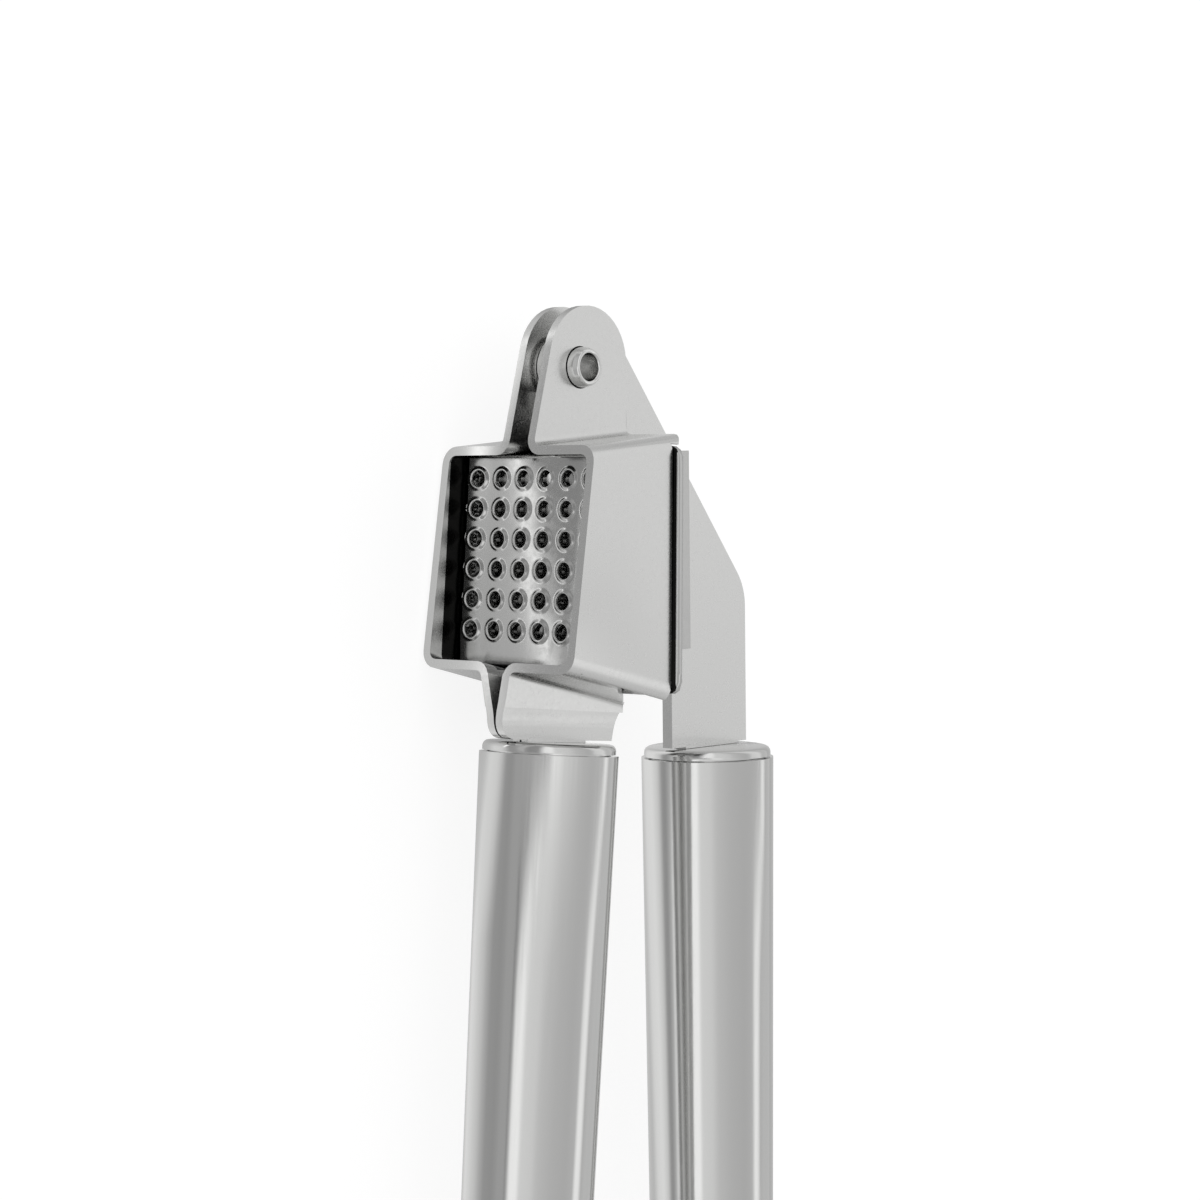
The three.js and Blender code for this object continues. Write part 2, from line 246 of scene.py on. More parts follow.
@dataclass(frozen=True)
class SteelFinish:
    """A stainless steel surface: its polish, its fine texture and its slow waves.

    Attributes:
        name: Material name, after the steel and how its surface was made.
        colour: sRGB hex of the reflection.
        roughness: Middle value of the roughness.
        spread: How far the fine texture moves the roughness up and down.
        grain_mm: Size of the fine texture along each axis.
        grain_depth_mm: Depth of the fine texture.
        wave_mm: Length of the slow waves in the sheet.
        wave_depth_mm: Depth of the slow waves.
        painted_shade_zone_mm: Low and high corners, in the drawing frame and with z taken as its
            distance from the middle, of the zone where the colour is painted near black as painted
            shade.
        painted_shade_lean: How much the zone's y grows with x.
    """

    name: str
    colour: str
    roughness: float
    spread: float
    grain_mm: Point
    grain_depth_mm: float
    wave_mm: float
    wave_depth_mm: float
    painted_shade_zone_mm: tuple[Point, Point] | None = None
    painted_shade_lean: float = 0.0

    def reflection(self, tree: bpy.types.NodeTree) -> Colour | bpy.types.NodeSocket:
        """Return the colour of the reflection, painted near black inside the zone of painted shade.

        Args:
            tree: The material's node tree.

        Returns:
            The plain colour, or the socket that gives it.
        """
        if self.painted_shade_zone_mm is None:
            return linear(self.colour)
        low, high = (Vector(corner) for corner in self.painted_shade_zone_mm)
        shift = offset_to_row()
        place = add_node(tree, "ShaderNodeTexCoord").outputs["Object"]
        middle = shift + (low + high) / 2 * Vector((1, 1, 0))
        centred = add_node(tree, "ShaderNodeVectorMath", {"operation": "SUBTRACT"},
                           {0: place, 1: middle * MM})
        split = add_node(tree, "ShaderNodeSeparateXYZ", None, {0: centred.outputs[0]})
        upright = add_node(tree, "ShaderNodeMath", {"operation": "MULTIPLY_ADD"}, {
            0: split.outputs["X"], 1: -self.painted_shade_lean, 2: split.outputs["Y"]})
        inside = 1.0
        for value, limit, below in (
            (split.outputs["X"], (high.x - low.x) / 2, True),
            (upright.outputs[0], (high.y - low.y) / 2, True),
            (split.outputs["Z"], high.z, True), (split.outputs["Z"], low.z, False),
        ):
            size = add_node(tree, "ShaderNodeMath", {"operation": "ABSOLUTE"}, {0: value})
            step = add_node(tree, "ShaderNodeMath",
                            {"operation": "LESS_THAN" if below else "GREATER_THAN"},
                            {0: size.outputs[0], 1: limit * MM})
            inside = add_node(tree, "ShaderNodeMath", {"operation": "MULTIPLY"},
                              {0: step.outputs[0], 1: inside}).outputs[0]
        # Painted shade: inside the zone the reflection's colour is swapped for near black.
        mix = add_node(tree, "ShaderNodeMix", {"data_type": "RGBA"},
                       {0: inside, 6: linear(self.colour), 7: linear(PAINTED_SHADE_COLOUR)})
        return mix.outputs[2]

    def material(self) -> bpy.types.Material:
        """Build the material and return it."""
        material = bpy.data.materials.new(self.name)
        material.use_nodes = True
        tree = material.node_tree
        tree.nodes.clear()
        place = add_node(tree, "ShaderNodeTexCoord").outputs["Object"]
        scale = tuple(1 / (size * MM) for size in self.grain_mm)
        grain_place = add_node(tree, "ShaderNodeVectorMath", {"operation": "MULTIPLY"},
                               {0: place, 1: scale}).outputs[0]
        grain = add_node(tree, "ShaderNodeTexNoise", None,
                         {"Vector": grain_place, "Scale": 1.0, "Detail": 3.0, "Roughness": 0.6})
        waves = add_node(tree, "ShaderNodeTexNoise", None,
                         {"Vector": place, "Scale": 1 / (self.wave_mm * MM), "Detail": 1.0})
        rough = add_node(tree, "ShaderNodeMapRange", None, {
            "Value": grain.outputs["Fac"], "From Min": 0.3, "From Max": 0.7,
            "To Min": self.roughness - self.spread, "To Max": self.roughness + self.spread,
        })
        slow = add_node(tree, "ShaderNodeBump", None, {
            "Height": waves.outputs["Fac"], "Distance": self.wave_depth_mm * MM, "Strength": 1.0,
        })
        fine = add_node(tree, "ShaderNodeBump", None, {
            "Height": grain.outputs["Fac"], "Distance": self.grain_depth_mm * MM,
            "Strength": 1.0, "Normal": slow.outputs["Normal"],
        })
        shader = add_node(tree, "ShaderNodeBsdfPrincipled", None, {
            "Base Color": self.reflection(tree), "Metallic": 1.0,
            "Roughness": rough.outputs["Result"], "Normal": fine.outputs["Normal"],
        })
        add_node(tree, "ShaderNodeOutputMaterial", None, {"Surface": shader.outputs[0]})
        return material


# Tumbled sheet: an even, soft sheen with the slow waves of a stamped part. The inside of the front
# ring is painted near black as painted shade.
TUMBLED_SHEET = SteelFinish("stainless_steel_tumbled_sheet", "#D2D2D1", 0.25, 0.03,
                            (0.5, 0.5, 0.5), 0.0006, 14.0, 0.03,
                            ((-13.3, -3.3, 0.0), (15.2, 0.6, 12.75)))
# Drawn sheet: the basket is pressed from thinner sheet, so it is darker and more uneven. The
# groove in front of its rim is painted near black as painted shade.
DRAWN_SHEET = SteelFinish("stainless_steel_drawn_sheet", "#B9B9B8", 0.17, 0.04,
                          (0.7, 0.7, 0.7), 0.002, 5.0, 0.03,
                          ((-18.0, 0.7, 11.9), (20.0, 13.05, 14.1)), 0.0645)
# Turned and polished: a brighter, sharper reflection on the rivet.
TURNED_STEEL = SteelFinish("stainless_steel_turned_polished", "#D8D8D7", 0.14, 0.03,
                           (0.6, 0.6, 0.6), 0.0004, 8.0, 0.01)
# Tube polished along its length: faint lines run with the tube and smear the reflection across.
POLISHED_TUBE = SteelFinish("stainless_steel_tube_polished_lengthwise", "#CECECD", 0.12, 0.03,
                            (14.0, 0.35, 0.35), 0.0008, 30.0, 0.02)


# ---------------------------------------------------------------- basket


@dataclass
class SieveBasket:
    """The lift-out basket: a pressed box with a sieve for its floor and a flat rim at its back.

    Every loop of points runs the same way round, with the same number of points, so loops join
    one after the other into skins.
    """

    top: float = -13.15
    bottom: float = 14.85
    half: float = 12.05
    corner: float = 1.9
    wall: float = 1.1
    flare: float = 0.165
    flare_reach: float = 11.0
    rim_top: float = -15.2
    rim_bottom: float = 17.3
    rim_half: float = 14.35
    rim_corner: float = 1.5
    rim_front: float = 0.15
    rim_thick: float = 1.2
    rim_y: float = 12.6
    rim_lean: float = 0.0645
    pitch: float = 4.0
    rows: int = 6
    hole_radius: float = 1.1
    hole_back_radius: float = 0.9
    lip: float = 0.24                # how far the hole's edge stands out of the face
    front_edge: float = 0.45         # rounding between the face and the walls
    border_start: float = 7.6        # from here out to the walls the face rises forward
    border_slope: float = 0.14
    border_soft: float = 1.2         # how slowly that rise starts
    bow_half_x: float = 13.0         # the bow of the face fades out towards these
    bow_half_z: float = 12.0
    twist: float = 0.0035            # the face's twist, for each millimetre of x and of z
    long_dent: float = 0.022         # depths of its two sets of dents
    short_dent: float = 0.016
    rounding_steps: int = 5
    rim_fillet: Section = ((0, -0.5), (-0.12, -0.18), (-0.5, 0))     # inset and depth
    chamber_edge: Section = ((-0.4, 0), (-0.1, -0.1), (0, -0.4))
    steps: int = 6                   # points along one side of a hole's square cell
    vertices: list[Point] = field(default_factory=list)
    faces: list[tuple[int, ...]] = field(default_factory=list)

    def back_plane(self, x: float) -> float:
        """Return y of the frame's back edge at a height on the press."""
        return self.rim_y + self.rim_lean * x

    def flared(self, x: float, y: float, z: float) -> Point:
        """Move a point outwards along x, as the box widens behind its face.

        Args:
            x: Drawing frame x before the flare.
            y: Distance behind the sieve's face.
            z: Drawing frame z.

        Returns:
            The moved point.
        """
        weight = max(-1.0, min(1.0, x / self.flare_reach))
        return x + self.flare * max(y, 0.0) * weight, y, z

    def lines(self, low: float, high: float) -> list[float]:
        """Return the edges of the cells in one direction, from low to high."""
        first = -self.pitch * (self.rows / 2 - 1)
        return [low, *(first + self.pitch * i for i in range(self.rows - 1)), high]

    def outline(
        self, low: float, high: float, half: float, radius: float, depth: Callable[[float], float]
    ) -> list[int]:
        """Add a loop of points around a rounded rectangle.

        Args:
            low: Its lowest x.
            high: Its highest x.
            half: Half of its width along z.
            radius: Its corner radius.
            depth: Gives y from x.

        Returns:
            The numbers of the points.
        """
        along = self.lines(low, high)
        across = self.lines(-half, half)
        spread_x = [self.between(along, i) for i in range(self.rows * self.steps)]
        spread_z = [self.between(across, i) for i in range(self.rows * self.steps)]
        square = [(x, -half) for x in spread_x]
        square += [(high, z) for z in spread_z]
        square += [(low + high - x, half) for x in self.mirrored(spread_x, low, high)]
        square += [(low, -z) for z in spread_z]
        loop = []
        for x, z in square:
            centre_x = min(max(x, low + radius), high - radius)
            centre_z = min(max(z, radius - half), half - radius)
            reach = math.hypot(x - centre_x, z - centre_z)
            if radius and x != centre_x and z != centre_z:
                x = centre_x + (x - centre_x) * radius / reach
                z = centre_z + (z - centre_z) * radius / reach
            loop.append(self.add(self.flared(x, depth(x), z)))
        return loop

    def between(self, lines: Sequence[float], index: int) -> float:
        """Return the place of one of the even steps between cell edges."""
        cell, step = divmod(index, self.steps)
        return lines[cell] + (lines[cell + 1] - lines[cell]) * step / self.steps

    @staticmethod
    def mirrored(values: Sequence[float], low: float, high: float) -> list[float]:
        """Return the values that, taken from the far end, land on the same places."""
        ends = [high, *reversed(values)][:len(values)]
        return [low + high - value for value in ends]

    def add(self, point: Point) -> int:
        """Keep a point and return its number."""
        self.vertices.append(point)
        return len(self.vertices) - 1

    def skin(self, loops: Sequence[Sequence[int]]) -> None:
        """Join loops with quads, one after the other."""
        for one, two in zip(loops, loops[1:]):
            count = len(one)
            for i in range(count):
                j = (i + 1) % count
                self.faces.append((one[i], one[j], two[j], two[i]))

    def ripple(self, x: float, z: float) -> float:
        """Return how far the pressed face bows out of its plane at a point."""
        over = max(0.0, abs(z) - self.border_start)
        border = over ** 2 / (over + self.border_soft)
        inside_x = max(0.0, 1 - (x / self.bow_half_x) ** 2)
        inside_z = max(0.0, 1 - (z / self.bow_half_z) ** 2)
        dent = (self.long_dent * math.sin(0.8 * x - 0.35 * z)
                + self.short_dent * math.sin(1.5 * x + 0.5 * z))
        return inside_x * inside_z * (self.twist * x * z + dent) - self.border_slope * border

    def cell_square(self, xs: Sequence[float], zs: Sequence[float]) -> list[tuple[float, float]]:
        """Return the points around a cell, in the same order as the hole's own points.

        Args:
            xs: The cell's lowest and highest x.
            zs: The cell's lowest and highest z.

        Returns:
            The pairs of x and z.
        """
        count = self.steps
        parts = [i / count for i in range(count)]
        (x0, x1), (z0, z1) = xs, zs
        return ([(x0 + (x1 - x0) * t, z0) for t in parts]
                + [(x1, z0 + (z1 - z0) * t) for t in parts]
                + [(x1 - (x1 - x0) * t, z1) for t in parts]
                + [(x0, z1 - (z1 - z0) * t) for t in parts])

    def hole_loop(self, centre: tuple[float, float], radius: float, y: float) -> list[int]:
        """Add a circle of points around a hole.

        Args:
            centre: The hole's x and z.
            radius: The circle's radius.
            y: Its depth, before the face's bow.

        Returns:
            The numbers of the points.
        """
        loop = []
        count = 4 * self.steps
        for i in range(count):
            angle = 2 * math.pi * i / count - 0.75 * math.pi
            x = centre[0] + radius * math.cos(angle)
            z = centre[1] + radius * math.sin(angle)
            loop.append(self.add((x, y + self.ripple(x, z), z)))
        return loop

    def hole_section(self) -> Section:
        """Return a hole's section, as pairs of radius and depth, from the face into the hole."""
        edge, lip = self.hole_radius, self.lip
        return [
            (edge + 0.78, 0.0), (edge + 0.62, 0.0), (edge + 0.5, -0.12 * lip),
            (edge + 0.26, -0.8 * lip), (edge + 0.12, -lip), (edge, -0.75 * lip),
            (edge - 0.05, 0.2), (self.hole_back_radius, self.wall),
        ]

    def build_holes(self) -> None:
        """Make the face, its back and the hole through each cell."""
        front_x = self.lines(self.top + self.front_edge, self.bottom - self.front_edge)
        front_z = self.lines(self.front_edge - self.half, self.half - self.front_edge)
        inner = self.half - self.wall
        back_x = self.lines(self.top + self.wall, self.bottom - self.wall)
        back_z = self.lines(-inner, inner)
        first = -self.pitch * (self.rows - 1) / 2
        for row in range(self.rows):
            for column in range(self.rows):
                centre = (first + self.pitch * row, first + self.pitch * column)
                square = [self.add((x, self.ripple(x, z), z)) for x, z in self.cell_square(
                    front_x[row:row + 2], front_z[column:column + 2])]
                loops = [square] + [self.hole_loop(centre, r, y) for r, y in self.hole_section()]
                back = []
                for x, z in self.cell_square(back_x[row:row + 2], back_z[column:column + 2]):
                    back.append(self.add(self.flared(x, self.wall, z)))
                self.skin([*loops, back])

    def build_walls(self) -> None:
        """Make the outer walls, the rim and the chamber, out from the face and back to it."""
        loops = []
        for i in range(self.rounding_steps + 1):
            angle = math.pi / 2 * i / self.rounding_steps
            inset = self.front_edge * (1 - math.sin(angle))
            depth = self.front_edge * (1 - math.cos(angle))
            loops.append(self.outline(self.top + inset, self.bottom - inset, self.half - inset,
                                      self.corner - inset, lambda _, d=depth: d))
        front = self.rim_front
        for inset, back in self.rim_fillet:
            loops.append(self.outline(
                self.top + inset, self.bottom - inset, self.half - inset, self.corner - inset,
                lambda x, b=back: self.back_plane(x) + front + b))
        loops += [self.rim_loop(inset, front + back) for inset, back in (
            (0.25, 0), (0.07, 0.07), (0, 0.25), (0, self.rim_thick - 0.3),
            (0.09, self.rim_thick - 0.09), (0.3, self.rim_thick))]
        thick = front + self.rim_thick
        for inset, back in self.chamber_edge:
            loops.append(self.chamber_loop(
                inset, lambda x, b=back: self.back_plane(x) + thick + b))
        loops.append(self.chamber_loop(0, lambda _: self.wall))
        self.skin(loops)

    def rim_loop(self, inset: float, back: float) -> list[int]:
        """Add a loop around the rim, a little in from its edge, at a depth from its plane.

        The rim's own box already has the flare's width, so the flare is taken out first.

        Args:
            inset: Distance in from the rim's edge.
            back: Distance behind the frame's back edge.

        Returns:
            The numbers of the points.
        """
        loop = self.outline(self.rim_top + inset, self.rim_bottom - inset, self.rim_half - inset,
                            self.rim_corner - inset, lambda x: self.back_plane(x) + back)
        for number in loop:
            x, y, z = self.vertices[number]
            plain = self.unflared(x, y)
            self.vertices[number] = (plain, self.back_plane(plain) + back, z)
        return loop

    def unflared(self, x: float, y: float) -> float:
        """Return x before the flare moved it."""
        limit = self.flare_reach + self.flare * y
        if abs(x) >= limit:
            return x - math.copysign(self.flare * y, x)
        return x / (1 + self.flare * y / self.flare_reach)

    def chamber_loop(self, inset: float, depth: Callable[[float], float]) -> list[int]:
        """Add a loop around the chamber's walls.

        Args:
            inset: Distance in from the walls, negative for outwards.
            depth: Gives y from x.

        Returns:
            The numbers of the points.
        """
        gap = self.wall + inset
        return self.outline(self.top + gap, self.bottom - gap, self.half - gap, 0.0, depth)

    def build(self, material: bpy.types.Material) -> bpy.types.Object:
        """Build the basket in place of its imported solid.

        Args:
            material: The finish.

        Returns:
            The basket.
        """
        self.build_holes()
        self.build_walls()
        piece = mesh_object("sieve_basket_pressed", self.vertices, self.faces, material, Body.FRAME)
        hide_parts("sieve_basket")
        return piece or piece


# ---------------------------------------------------------------- hinge


@dataclass
class HollowRivet:
    """The tube through both ears, with a rolled lip at each end."""

    bore: float = 1.8
    radius: float = 2.65
    lip_radius: float = 2.42         # the rolled end is a little narrower than the tube
    half: float = 4.6
    ear_outside: float = 2.8         # outer face of an ear
    roll_start: float = 1.0          # where the rolled end starts, down from its top
    roll_shoulder: float = 0.65      # where it starts to turn in
    roll_in: float = 0.08            # how far it has turned in there
    facets: int = 72

    def profile(self) -> list[tuple[float, float]]:
        """Return the section as pairs of radius and height, once around."""
        wall = self.lip_radius - self.bore
        middle = self.bore + wall / 2
        lip = [(middle + wall / 2 * math.cos(a), self.half - wall / 2 + wall / 2 * math.sin(a))
               for a in (math.pi * i / 8 for i in range(9))]
        upper = [(self.radius, self.ear_outside), (self.radius, self.half - self.roll_start),
                 (self.radius - self.roll_in, self.half - self.roll_shoulder), *lip]
        return [*upper, *((r, -h) for r, h in reversed(upper))]

    def build(self, material: bpy.types.Material) -> bpy.types.Object:
        """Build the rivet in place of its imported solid.

        Args:
            material: The finish.

        Returns:
            The rivet.
        """
        section = self.profile()
        count = len(section)
        vertices = []
        for i in range(self.facets):
            angle = 2 * math.pi * i / self.facets
            vertices += [(PIVOT[0] + r * math.cos(angle), PIVOT[1] + r * math.sin(angle), h)
                         for r, h in section]
        faces = []
        for i in range(self.facets):
            here, there = i * count, (i + 1) % self.facets * count
            for j in range(count):
                k = (j + 1) % count
                faces.append((here + j, here + k, there + k, there + j))
        piece = mesh_object("pivot_rivet_rolled", vertices, faces, material, Body.FRAME)
        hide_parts("pivot_rivet")
        return piece or piece


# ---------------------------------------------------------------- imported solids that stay


@dataclass
class DressedPart:
    """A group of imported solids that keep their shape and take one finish.

    Attributes:
        names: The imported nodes.
        edge_mm: Rounding of their sharp edges.
    """

    names: tuple[str, ...]
    edge_mm: float

    def dress(
        self,
        nodes: dict[str, bpy.types.Object],
        material: bpy.types.Material,
        shading: bpy.types.NodeTree,
    ) -> None:
        """Dress every node of the group.

        Args:
            nodes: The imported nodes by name.
            material: The finish.
            shading: The tree from smooth_by_angle.
        """
        for name in self.names:
            dress(nodes[name], material, shading, self.edge_mm)
            LOG.info("dressed %s with %s", name, material.name)


# ---------------------------------------------------------------- studio


@dataclass
class Studio:
    """The pale floor, the soft dome of light and the camera.

    The light lies in long bands beside the press, as soft panels would make them, with one set
    of bands for the head and one for the handles. The floor glows for the steel alone, with bands
    of painted light and a painted shadow of the press in front of it. The camera sees the dome
    and the floor as plain pale paper.

    Attributes:
        floor_half_m: Half of the floor's width.
        paper: Grey of the paper that the camera sees.
        backdrop_strength: Brightness of that paper behind the press.
        floor_strength: Brightness that the floor's paper has by itself.
        shadow_grey: Grey of the floor's share that takes the shadows.
        camera_mm: The camera's place.
        camera_deg: The camera's turn.
        lens_mm: The lens.
        slant_deg: How far the dome's bands lean, in front and at the back.
        slant_span: Where front and back lie, as shares of the half turn over the press.
        slant_side: The directions to the side between which the lean grows.
        slant_power: How late it grows.
        dome_join: The directions to the side between the head's and the handles' light.
        floor_span_mm: The lowest and highest y of the floor's bands.
        floor_join_m: The places along the press between their two sets.
        shadow_lean_x_m: Where the bands under the head start and end their lean.
        shadow_lean_y_m: How far they lean there.
        draw_front_m: The places in front of the press where the handles' bands draw in.
        draw_side_m: The places along the press where they start and end to.
        draw_by_m: How far they draw in.
    """

    floor_half_m: float = 3.0
    paper: float = 0.93
    backdrop_strength: float = 1.05
    floor_strength: float = 0.86
    shadow_grey: float = 0.3
    camera_mm: Point = (-39.08, -315.03, 286.01)
    camera_deg: Point = (-2.0425, -48.1897, 94.0973)
    lens_mm: float = 91.2
    slant_deg: Span = (43.0, 16.0)
    slant_span: Span = (0.3, 0.8)
    slant_side: Span = (0.05, 0.13)
    slant_power: float = 2.0
    dome_join: Span = (-0.005, 0.035)
    floor_span_mm: Span = (-200.0, 100.0)
    floor_join_m: Span = (-0.036, -0.028)
    # shadow_lean_x_m: Where the bands under the head, which follow its painted shadow edge,             start and end their lean.         shadow_lean_y_m: How far they lean there.
    shadow_lean_x_m: Span = (-0.066, -0.04)
    shadow_lean_y_m: Span = (-0.0044, 0.0038)
    draw_front_m: Span = (-0.012, -0.03)
    draw_side_m: Span = (-0.025, 0.0)
    draw_by_m: float = -0.012

    def light_by_angle(self) -> tuple[Stops, Stops]:
        """Return the dome's brightness by degrees from the front, over the top, to the back.

        Returns:
            The stops that the head sees and the stops that the handles see.
        """
        head = [(0, 0.45), (8, 0.36), (24, 0.4), (30, 0.8), (35, 1.2), (47, 1.22), (54, 0.92),
                (70, 0.88), (80, 0.84), (90, 0.72), (104, 0.66), (114, 0.62), (122, 0.68),
                (129, 0.92), (150, 1.0), (158, 0.72), (168, 0.7), (180, 0.78)]
        handles = [(0, 0.55), (24, 0.55), (31, 0.45), (36, 0.24), (42, 0.24), (47, 0.6), (52, 1.3),
                   (64, 1.3), (70, 0.95), (88, 0.9), (100, 0.74), (116, 0.66), (134, 0.62),
                   (146, 0.66), (151, 1.25), (156, 1.2), (161, 0.64), (172, 0.72), (180, 0.7)]
        return head, handles

    def light_by_floor(self) -> tuple[Stops, Stops]:
        """Return the floor's brightness by y in millimetres.

        Returns:
            The stops under the head, along its slanted shadow edge, and under the handles.
        """
        head = [(-116, 0.6), (-59, 0.42), (-44, 0.42), (-42.2, 0.8), (-41.2, 2.0), (-39.8, 2.0),
                (-38.4, 0.8), (-34, 0.74), (-27, 0.72), (-23, 0.6), (-12, 0.4), (-8, 0.45),
                (-4, 0.85), (2, 1.08), (7, 1.0), (11, 0.7), (40, 0.62), (100, 0.6)]
        handles = [(-200, 0.5), (-110, 0.5), (-72, 0.42), (-56, 0.45), (-50, 0.62), (-46, 0.8),
                   (-41, 0.95), (-34, 1.0), (-29, 0.75), (-23, 0.6), (-12, 0.4), (-8, 0.45),
                   (-4, 0.85), (2, 1.08), (7, 1.0), (11, 0.7), (40, 0.62), (100, 0.6)]
        return head, handles

    def light_of(
        self,
        tree: bpy.types.NodeTree,
        places: Sequence[bpy.types.NodeSocket],
        stops: tuple[Stops, Stops],
        share: bpy.types.NodeSocket,
    ) -> bpy.types.NodeSocket:
        """Join the head's light and the handles' light.

        Args:
            tree: The node tree.
            places: Where the head's ramp and the handles' ramp are read, from 0 to 1.
            stops: The two ramps' stops, from 0 to 1.
            share: How much of the handles' light to take.

        Returns:
            The socket of the light's colour.
        """
        ramps = []
        for place, values in zip(places, stops):
            ramp = add_node(tree, "ShaderNodeValToRGB", None, {"Fac": place})
            set_stops(ramp, values)
            ramps.append(ramp.outputs["Color"])
        mix = add_node(tree, "ShaderNodeMix", {"data_type": "RGBA"},
                       {0: share, 6: ramps[0], 7: ramps[1]})
        return mix.outputs[2]

    def show_to_camera(
        self, tree: bpy.types.NodeTree, steel: bpy.types.Node, camera: bpy.types.Node
    ) -> bpy.types.NodeSocket:
        """Give the steel one shader and the camera another.

        Args:
            tree: The node tree.
            steel: The shader that lights the steel.
            camera: The shader that the camera sees.

        Returns:
            The socket of the joined shader.
        """
        seen = add_node(tree, "ShaderNodeLightPath").outputs["Is Camera Ray"]
        mix = add_node(tree, "ShaderNodeMixShader", None,
                       {0: seen, 1: steel.outputs[0], 2: camera.outputs[0]})
        return mix.outputs[0]

    def dome_light(self, tree: bpy.types.NodeTree) -> bpy.types.NodeSocket:
        """Read the dome's bands by direction.

        Args:
            tree: The world's node tree.

        Returns:
            The socket of the light's colour.
        """
        place = add_node(tree, "ShaderNodeTexCoord").outputs["Generated"]
        split = add_node(tree, "ShaderNodeSeparateXYZ", None, {0: place})
        side = split.outputs["X"]
        forward = add_node(tree, "ShaderNodeMath", {"operation": "MULTIPLY"},
                           {0: split.outputs["Y"], 1: -1.0})
        angle = add_node(tree, "ShaderNodeMath", {"operation": "ARCTAN2"},
                         {0: split.outputs["Z"], 1: forward.outputs[0]})
        share = add_node(tree, "ShaderNodeMath", {"operation": "DIVIDE"},
                         {0: angle.outputs[0], 1: math.pi})
        near, far = self.slant_side
        rest = add_node(tree, "ShaderNodeMapRange", None, {
            "Value": side, "From Min": near, "From Max": far, "To Min": 1.0, "To Max": 0.0})
        bend = add_node(tree, "ShaderNodeMath", {"operation": "POWER"},
                        {0: rest.outputs["Result"], 1: self.slant_power})
        slant = add_node(tree, "ShaderNodeMath", {"operation": "SUBTRACT"},
                         {0: 1.0, 1: bend.outputs[0]})
        start, end = self.slant_span
        front, back = self.slant_deg
        reach = add_node(tree, "ShaderNodeMapRange", None, {
            "Value": share.outputs[0], "From Min": start, "From Max": end,
            "To Min": front / 180, "To Max": back / 180})
        moved = add_node(tree, "ShaderNodeMath", {"operation": "MULTIPLY_ADD", "use_clamp": True},
                         {0: slant.outputs[0], 1: reach.outputs["Result"], 2: share.outputs[0]})
        head_end, handle_start = self.dome_join
        join = add_node(tree, "ShaderNodeMapRange", None, {
            "Value": side, "From Min": head_end, "From Max": handle_start})
        stops = tuple([(degrees / 180, value) for degrees, value in part]
                      for part in self.light_by_angle())
        return self.light_of(tree, [moved.outputs[0]] * 2, stops, join.outputs["Result"])

    def build_dome(self) -> None:
        """Light the world, and show it to the camera as pale paper."""
        world = bpy.data.worlds.new("studio_dome")
        bpy.context.scene.world = world
        world.use_nodes = True
        tree = world.node_tree
        tree.nodes.clear()
        glow = add_node(tree, "ShaderNodeBackground", None, {"Color": self.dome_light(tree)})
        paper = add_node(tree, "ShaderNodeBackground", None, {
            "Color": (self.paper, self.paper, self.paper, 1.0),
            "Strength": self.backdrop_strength})
        add_node(tree, "ShaderNodeOutputWorld", None,
                 {"Surface": self.show_to_camera(tree, glow, paper)})

    def build_floor(self) -> bpy.types.Object:
        """Build the floor of pale paper, lit softly from below, and return it."""
        size = self.floor_half_m
        mesh = bpy.data.meshes.new("studio_floor")
        corners = [(-size, -size, 0), (size, -size, 0), (size, size, 0), (-size, size, 0)]
        mesh.from_pydata(corners, [], [(0, 1, 2, 3)])
        floor = bpy.data.objects.new("studio_floor", mesh)
        bpy.context.scene.collection.objects.link(floor)
        floor.data.materials.append(self.paper_material())
        return floor

    def floor_light(self, tree: bpy.types.NodeTree) -> bpy.types.NodeSocket:
        """Read the floor's bands by place.

        Args:
            tree: The paper's node tree.

        Returns:
            The socket of the light's colour.
        """
        place = add_node(tree, "ShaderNodeTexCoord").outputs["Object"]
        split = add_node(tree, "ShaderNodeSeparateXYZ", None, {0: place})
        along, depth = split.outputs["X"], split.outputs["Y"]
        # Painted shadow: the head's floor bands lean along the edge of the press's painted shadow.
        start, end = self.shadow_lean_x_m
        least, most = self.shadow_lean_y_m
        lean = add_node(tree, "ShaderNodeMapRange", None, {
            "Value": along, "From Min": start, "From Max": end, "To Min": least, "To Max": most})
        leaning = add_node(tree, "ShaderNodeMath", {"operation": "ADD"},
                           {0: depth, 1: lean.outputs["Result"]})
        near, far = self.draw_front_m
        front = add_node(tree, "ShaderNodeMapRange", None, {
            "Value": depth, "From Min": near, "From Max": far})
        start, end = self.draw_side_m
        sideways = add_node(tree, "ShaderNodeMapRange", None, {
            "Value": along, "From Min": start, "From Max": end, "To Max": self.draw_by_m})
        drawn_in = add_node(tree, "ShaderNodeMath", {"operation": "MULTIPLY_ADD"}, {
            0: front.outputs["Result"], 1: sideways.outputs["Result"], 2: depth})
        low, high = self.floor_span_mm
        places = []
        for moved in (leaning, drawn_in):
            share = add_node(tree, "ShaderNodeMapRange", None, {
                "Value": moved.outputs[0], "From Min": low * MM, "From Max": high * MM})
            places.append(share.outputs["Result"])
        stops = tuple([((y - low) / (high - low), value) for y, value in part]
                      for part in self.light_by_floor())
        head_end, handle_start = self.floor_join_m
        join = add_node(tree, "ShaderNodeMapRange", None, {
            "Value": along, "From Min": head_end, "From Max": handle_start})
        return self.light_of(tree, places, stops, join.outputs["Result"])

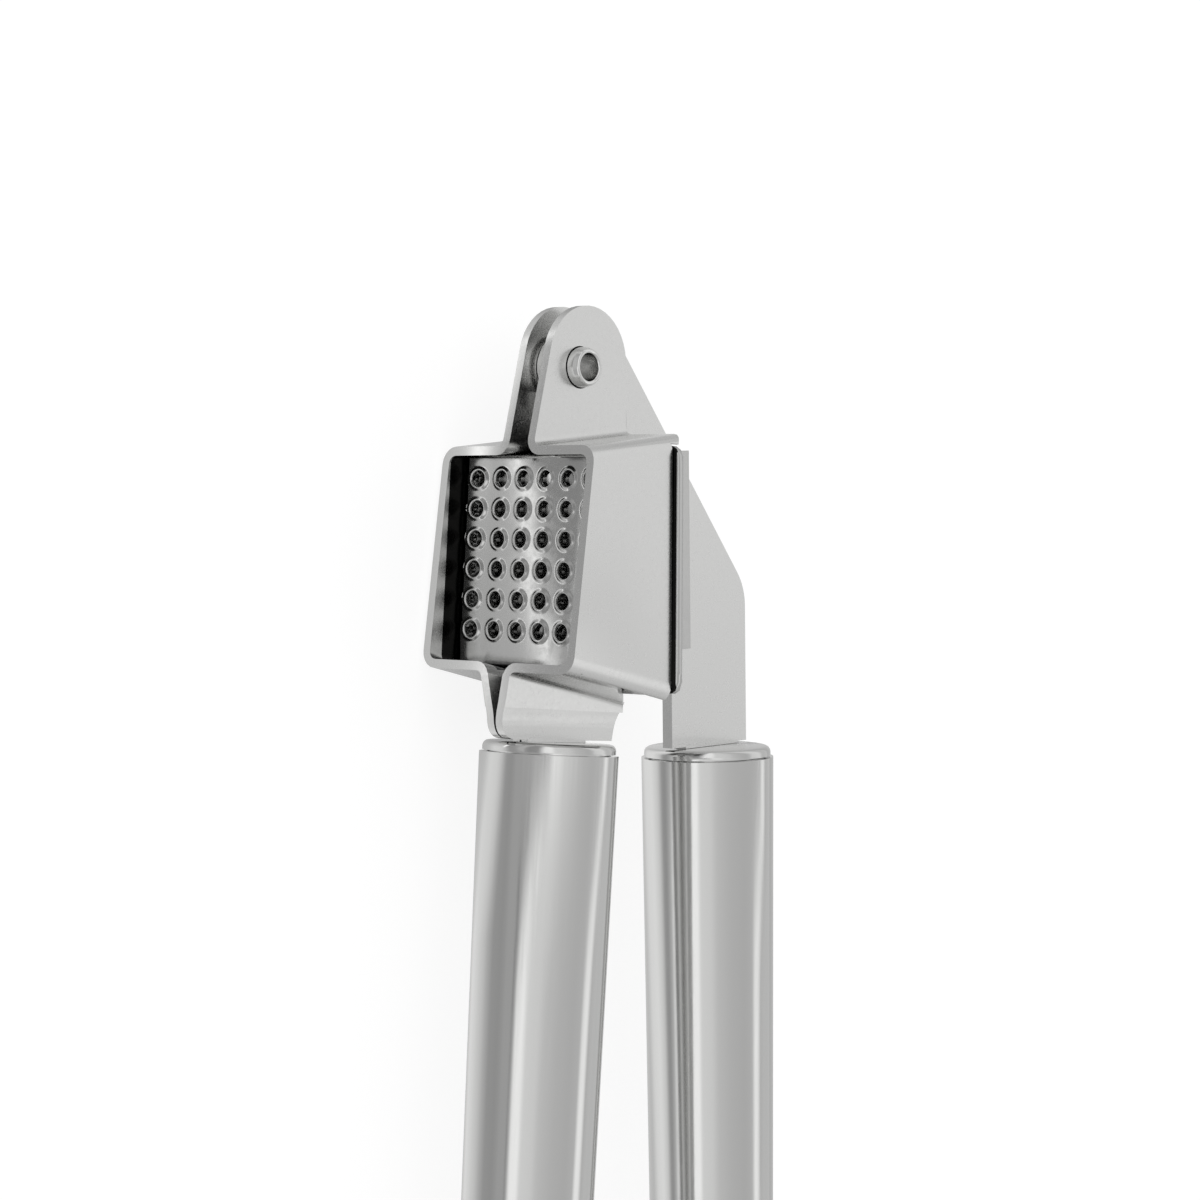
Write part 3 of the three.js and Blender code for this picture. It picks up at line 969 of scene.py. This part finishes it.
    def paper_material(self) -> bpy.types.Material:
        """Build the floor's paper, with a painted shadow in front of the press for the steel."""
        material = bpy.data.materials.new("studio_paper")
        material.use_nodes = True
        tree = material.node_tree
        tree.nodes.clear()
        grey = self.shadow_grey
        # Painted light and painted shadow: the steel sees these emitted bands in place of the
        # floor's real light.
        seen_by_steel = add_node(tree, "ShaderNodeEmission", None,
                                 {"Color": self.floor_light(tree)})
        glow = add_node(tree, "ShaderNodeEmission", None, {
            "Color": (self.paper, self.paper, self.paper, 1.0), "Strength": self.floor_strength})
        sheet = add_node(tree, "ShaderNodeBsdfDiffuse", None, {"Color": (grey, grey, grey, 1.0)})
        lit = add_node(tree, "ShaderNodeAddShader", None, {0: glow.outputs[0], 1: sheet.outputs[0]})
        add_node(tree, "ShaderNodeOutputMaterial", None,
                 {"Surface": self.show_to_camera(tree, seen_by_steel, lit)})
        return material

    def build_camera(self) -> None:
        """Place the camera and make it the scene's."""
        data = bpy.data.cameras.new("camera")
        data.lens = self.lens_mm
        data.sensor_width = 36.0
        data.clip_start = 0.01
        camera = bpy.data.objects.new("camera", data)
        camera.location = Vector(self.camera_mm) * MM
        camera.rotation_euler = [math.radians(v) for v in self.camera_deg]
        bpy.context.scene.collection.objects.link(camera)
        bpy.context.scene.camera = camera

    def build(self) -> None:
        """Build the whole studio."""
        self.build_dome()
        self.build_floor()
        self.build_camera()
        bpy.context.scene.view_settings.view_transform = "Standard"
        LOG.info("built the studio")


# ---------------------------------------------------------------- the press


def main() -> None:
    """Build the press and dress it."""
    logging.basicConfig(level=logging.INFO, format="%(message)s")
    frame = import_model()
    nodes = frame["nodes"]
    Studio().build()
    shading = smooth_by_angle(SMOOTH_ANGLE_DEG)
    sheet = TUMBLED_SHEET.material()
    drawn = DRAWN_SHEET.material()
    turned = TURNED_STEEL.material()
    tube = POLISHED_TUBE.material()
    DressedPart(("frame_right", "frame_left", "lever_plate"), 0.15).dress(nodes, sheet, shading)
    DressedPart(("plunger_shell",), 0.12).dress(nodes, drawn, shading)
    DressedPart(("spacer_right", "spacer_left"), 0.0).dress(nodes, turned, shading)
    DressedPart(tuple(f"{side}_handle_{piece}" for side in ("front", "rear")
                      for piece in ("tube", "cap", "end")), 0.0).dress(nodes, tube, shading)
    for part, material in ((SieveBasket(), drawn), (HollowRivet(), turned)):
        LOG.info("built %s", part.build(material).name)


if __name__ == "__main__":
    main()
